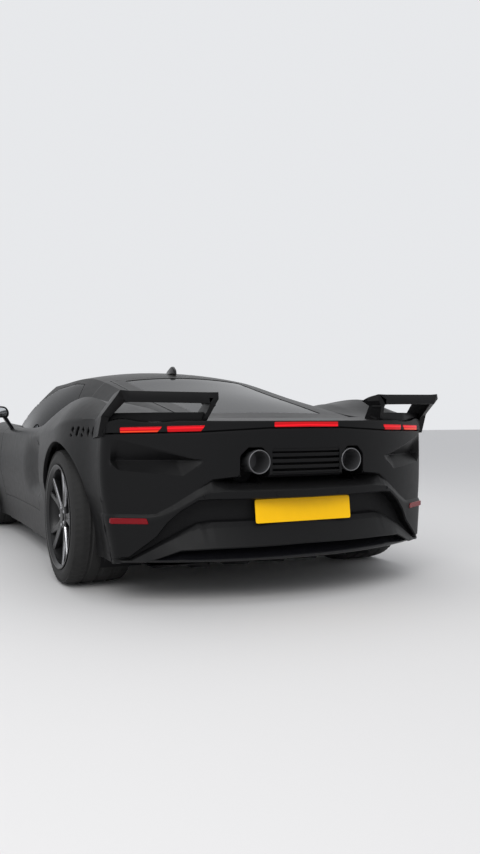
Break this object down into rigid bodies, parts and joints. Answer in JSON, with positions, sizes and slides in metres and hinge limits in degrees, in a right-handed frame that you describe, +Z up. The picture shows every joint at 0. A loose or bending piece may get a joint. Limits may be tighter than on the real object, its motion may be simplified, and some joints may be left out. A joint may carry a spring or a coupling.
{
  "type": "mid-engined supercar",
  "caption": "Low two-seat mid-engined supercar in matte black with twin tail fins; doors, lids, wheels and steering move.",
  "frame": {"origin": "on the ground under the middle of the car's length and width", "axes": "+Z up, +Y towards the tail, +X towards the car's left side"},
  "size_m": [2.184, 4.718, 1.21],
  "materials": {
    "matte_black_paint": "satin matte",
    "gloss_black_trim": "gloss",
    "dark_plastic": "matte",
    "tinted_glass": "tinted",
    "lamp_red": "clear red lens",
    "lamp_clear": "clear lens",
    "exhaust_metal": "dark satin",
    "plate_yellow": "reflective",
    "cast_alloy": "cast",
    "rim_black": "dark satin with bright edges",
    "tyre_rubber": "matte",
    "brake_iron": "machined",
    "chassis_alloy": "matte",
    "interior_leather": "grained"
  },
  "bodies": {
    "body": {"cabin_tub": "chassis_alloy", "cowl": "dark_plastic", "dashboard": "interior_leather", "engine_block": "cast_alloy", "front_bumper": "matte_black_paint", "front_fenders": "matte_black_paint", "front_grille": "dark_plastic", "headlamps": "lamp_clear", "luggage_tray": "dark_plastic", "number_plate": "plate_yellow", "rear_bumper": "matte_black_paint", "rear_diffuser": "dark_plastic", "rear_grille": "gloss_black_trim", "rear_knuckles": "cast_alloy", "rear_quarters": "matte_black_paint", "rear_trim": "rim_black", "roof_antenna": "gloss_black_trim", "roof_frame": "matte_black_paint", "seats": "interior_leather", "side_sills": "gloss_black_trim", "tail_fins": "matte_black_paint", "tail_lamps": "lamp_red", "tail_panel": "matte_black_paint", "tailpipes": "exhaust_metal", "underfloor": "dark_plastic", "wheel_liners": "dark_plastic", "windscreen": "tinted_glass", "wishbones": "cast_alloy"},
    "door_left": {"door_left": "matte_black_paint", "door_glass_left": "tinted_glass", "mirror_left": "matte_black_paint"},
    "steering_knuckle_left": {"knuckle_front_left": "cast_alloy"},
    "wheel_front_left": {"rim_front_left": "rim_black", "tyre_front_left": "tyre_rubber", "brake_disc_front_left": "brake_iron"},
    "wheel_rear_left": {"rim_rear_left": "rim_black", "tyre_rear_left": "tyre_rubber", "brake_disc_rear_left": "brake_iron"},
    "door_right": {"door_right": "matte_black_paint", "door_glass_right": "tinted_glass", "mirror_right": "matte_black_paint"},
    "steering_knuckle_right": {"knuckle_front_right": "cast_alloy"},
    "wheel_front_right": {"rim_front_right": "rim_black", "tyre_front_right": "tyre_rubber", "brake_disc_front_right": "brake_iron"},
    "wheel_rear_right": {"rim_rear_right": "rim_black", "tyre_rear_right": "tyre_rubber", "brake_disc_rear_right": "brake_iron"},
    "bonnet_panel": {"bonnet": "matte_black_paint"},
    "engine_cover": {"engine_lid": "matte_black_paint", "engine_glass": "tinted_glass"},
    "steering": {"steering_wheel": "interior_leather"}
  },
  "joints": [
    {"name": "steer_left", "type": "hinge", "parent": "body", "child": "steering_knuckle_left", "pos_m": [0.779, -1.209, 0.3467], "axis": [0, 0, 1], "range_deg": [-33, 33]},
    {"name": "steer_right", "type": "hinge", "parent": "body", "child": "steering_knuckle_right", "pos_m": [-0.779, -1.209, 0.3467], "axis": [0, 0, 1], "range_deg": [-33, 33]},
    {"name": "steering_wheel_turn", "type": "hinge", "parent": "body", "child": "steering", "pos_m": [-0.37, -0.2, 0.69], "axis": [0, 0.9272, 0.3746], "range_deg": [-450, 450]},
    {"name": "wheel_front_left_spin", "type": "hinge", "parent": "steering_knuckle_left", "child": "wheel_front_left", "pos_m": [0.839, -1.209, 0.3467], "axis": [1, 0, 0], "continuous": true},
    {"name": "wheel_rear_left_spin", "type": "hinge", "parent": "body", "child": "wheel_rear_left", "pos_m": [0.822, 1.441, 0.3515], "axis": [1, 0, 0], "continuous": true},
    {"name": "wheel_front_right_spin", "type": "hinge", "parent": "steering_knuckle_right", "child": "wheel_front_right", "pos_m": [-0.839, -1.209, 0.3467], "axis": [1, 0, 0], "continuous": true},
    {"name": "wheel_rear_right_spin", "type": "hinge", "parent": "body", "child": "wheel_rear_right", "pos_m": [-0.822, 1.441, 0.3515], "axis": [1, 0, 0], "continuous": true},
    {"name": "door_left_hinge", "type": "hinge", "parent": "body", "child": "door_left", "pos_m": [0.943, -0.583, 0.55], "axis": [0, 0, -1], "range_deg": [0, 62]},
    {"name": "door_right_hinge", "type": "hinge", "parent": "body", "child": "door_right", "pos_m": [-0.943, -0.583, 0.55], "axis": [0, 0, 1], "range_deg": [0, 62]},
    {"name": "bonnet_hinge", "type": "hinge", "parent": "body", "child": "bonnet_panel", "pos_m": [0, -0.902, 0.806], "axis": [-1, 0, 0], "range_deg": [0, 55]},
    {"name": "engine_cover_hinge", "type": "hinge", "parent": "body", "child": "engine_cover", "pos_m": [0, 0.687, 1.131], "axis": [1, 0, 0], "range_deg": [0, 50]}
  ],
  "couplings": [
    {"joint": "steer_right", "follows": "steer_left", "ratio": 1},
    {"joint": "steering_wheel_turn", "follows": "steer_left", "ratio": 13.6}
  ]
}
